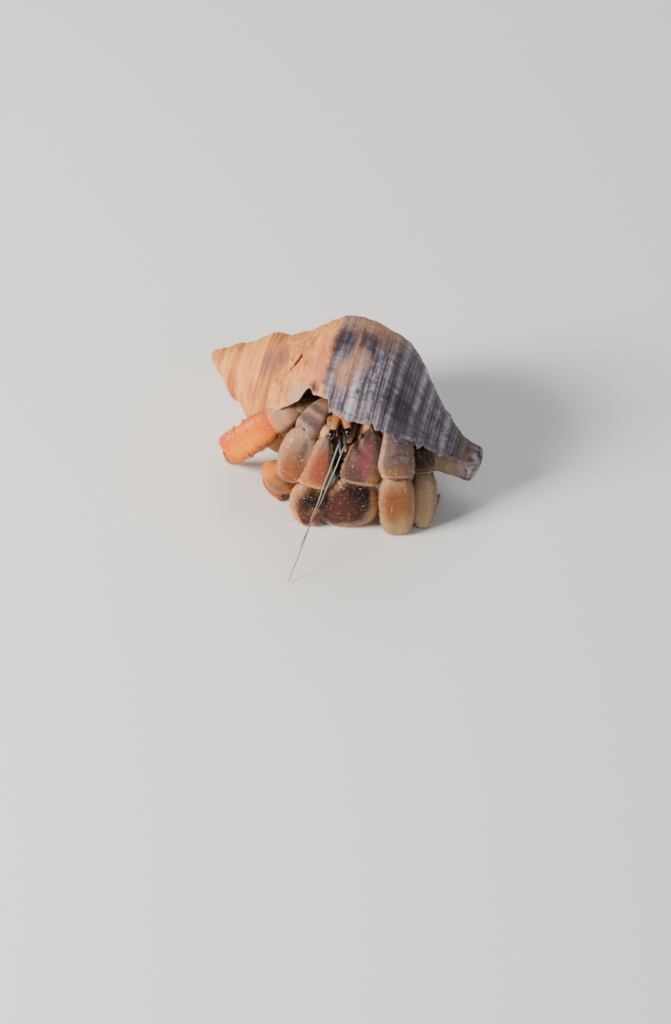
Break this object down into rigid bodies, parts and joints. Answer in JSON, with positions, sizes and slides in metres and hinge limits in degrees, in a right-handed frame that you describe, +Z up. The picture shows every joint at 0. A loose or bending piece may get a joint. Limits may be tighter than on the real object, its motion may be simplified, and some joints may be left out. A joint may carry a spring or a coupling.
{
  "type": "hermit crab",
  "caption": "Land hermit crab, still and life size, in a worn spindle-shaped rock-snail shell, standing half withdrawn with claws and legs folded under the lip and feelers forward.",
  "frame": {"origin": "on the ground, at the middle of the underside of the model's box", "axes": "+Z up; the crab looks along -Y; the tip of its shell's spire points to -X and the shell's canal to +X"},
  "size_m": [0.0492, 0.0484, 0.0299],
  "materials": {
    "snail_shell": "worn, matt to satin",
    "claw": "satin horn with pale granules",
    "leg": "satin horn",
    "carapace": "satin horn",
    "eyestalk": "satin horn",
    "eye": "wet gloss",
    "feeler": "satin horn",
    "mouthpart": "satin horn",
    "abdomen": "soft skin"
  },
  "bodies": {
    "root": {"shell": "snail_shell", "antenna_right": "feeler", "antenna_left": "feeler", "cornea_right": "eye", "cornea_left": "eye", "eyestalk_right": "eyestalk", "eyestalk_left": "eyestalk", "antennule_right": "feeler", "antennule_left": "feeler", "antenna_base_right": "feeler", "antenna_base_left": "feeler", "mouth_leg_right": "mouthpart", "mouth_leg_left": "mouthpart", "cheliped_left_dactyl": "claw", "cheliped_left_palm": "claw", "cheliped_left_carpus": "claw", "cheliped_left_merus": "claw", "cheliped_left_ischium": "claw", "cheliped_right_dactyl": "claw", "cheliped_right_palm": "claw", "cheliped_right_carpus": "claw", "cheliped_right_merus": "claw", "cheliped_right_ischium": "claw", "leg_2_left_dactyl": "leg", "leg_2_left_propodus": "leg", "leg_2_left_carpus": "leg", "leg_2_left_merus": "leg", "leg_2_left_ischium": "leg", "leg_3_left_dactyl": "leg", "leg_3_left_propodus": "leg", "leg_3_left_carpus": "leg", "leg_3_left_merus": "leg", "leg_3_left_ischium": "leg", "leg_2_right_dactyl": "leg", "leg_2_right_propodus": "leg", "leg_2_right_carpus": "leg", "leg_2_right_merus": "leg", "leg_2_right_ischium": "leg", "leg_3_right_dactyl": "leg", "leg_3_right_propodus": "leg", "leg_3_right_carpus": "leg", "leg_3_right_merus": "leg", "leg_3_right_ischium": "leg", "carapace": "carapace", "thorax": "carapace", "abdomen": "abdomen"}
  },
  "joints": []
}
